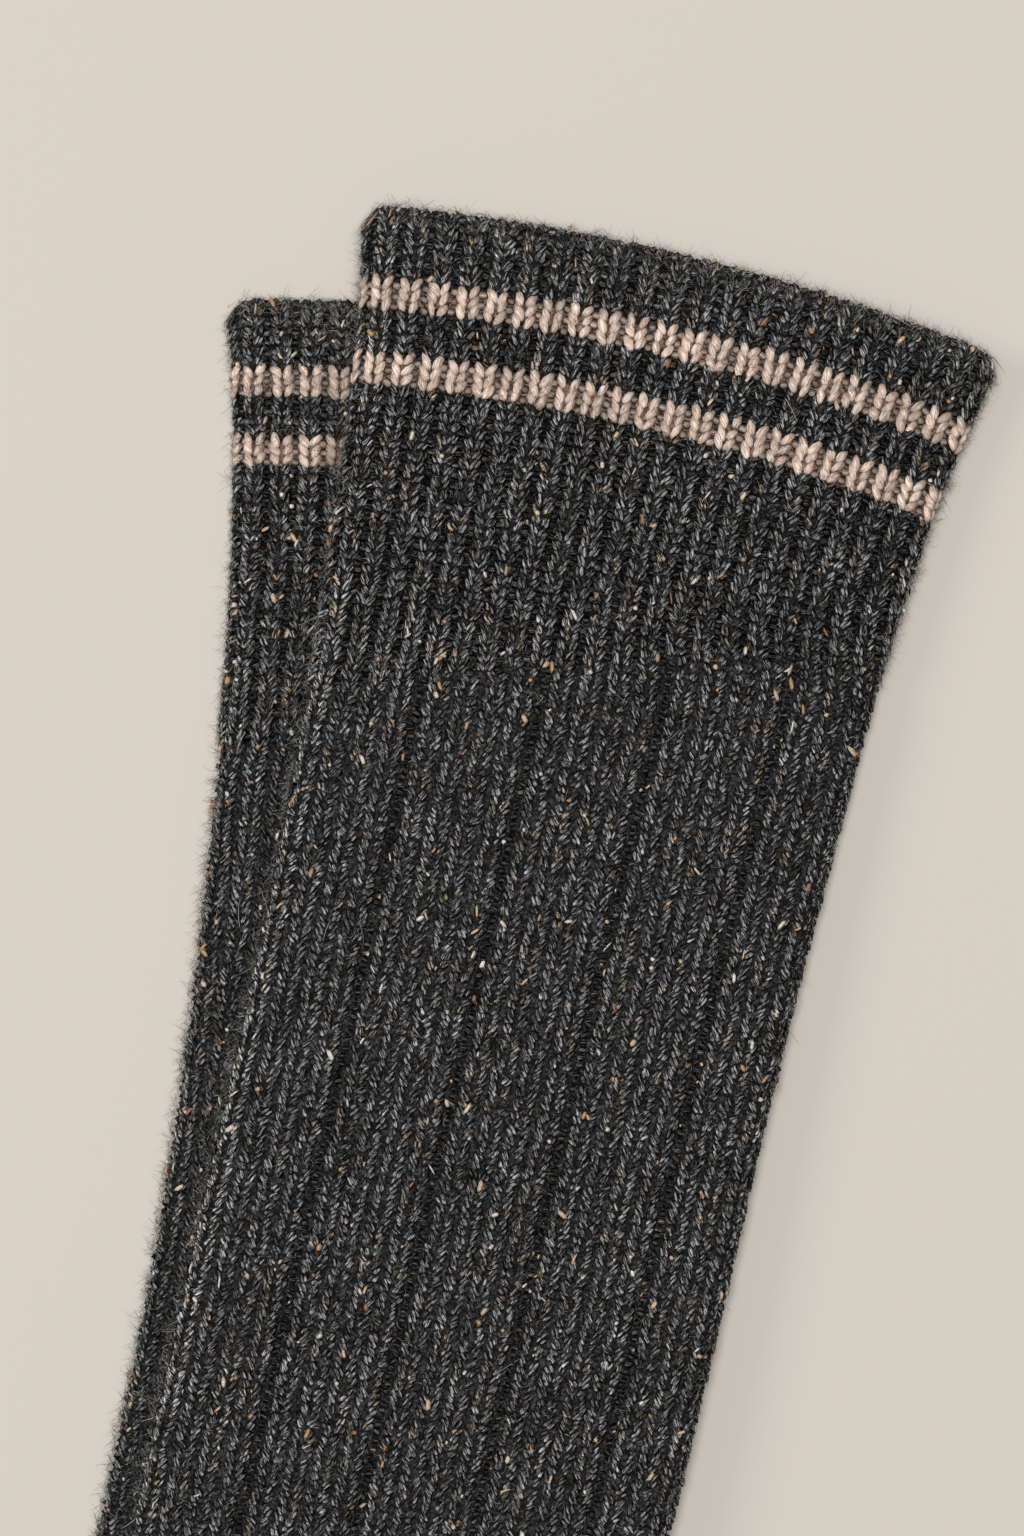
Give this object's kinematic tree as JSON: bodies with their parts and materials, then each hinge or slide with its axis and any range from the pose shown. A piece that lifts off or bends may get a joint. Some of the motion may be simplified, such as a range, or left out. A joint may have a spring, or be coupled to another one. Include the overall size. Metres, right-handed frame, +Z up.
{
  "type": "pair of knee-high ribbed wool socks, laid flat",
  "caption": "Pair of knee-high ribbed wool socks with striped cuffs, laid flat on a surface with one sock partly over the other.",
  "frame": {"origin": "middle of the underside of the pair's box, on the surface that the lower sock lies on", "axes": "+X to the right across the socks, +Y up the legs to the cuffs, +Z up from the surface"},
  "size_m": [0.207, 0.5628, 0.0107],
  "materials": {
    "charcoal_wool": "matte",
    "stripe_wool": "matte"
  },
  "bodies": {
    "root": {"lower_sock": "charcoal_wool", "upper_sock": "charcoal_wool"}
  },
  "joints": []
}
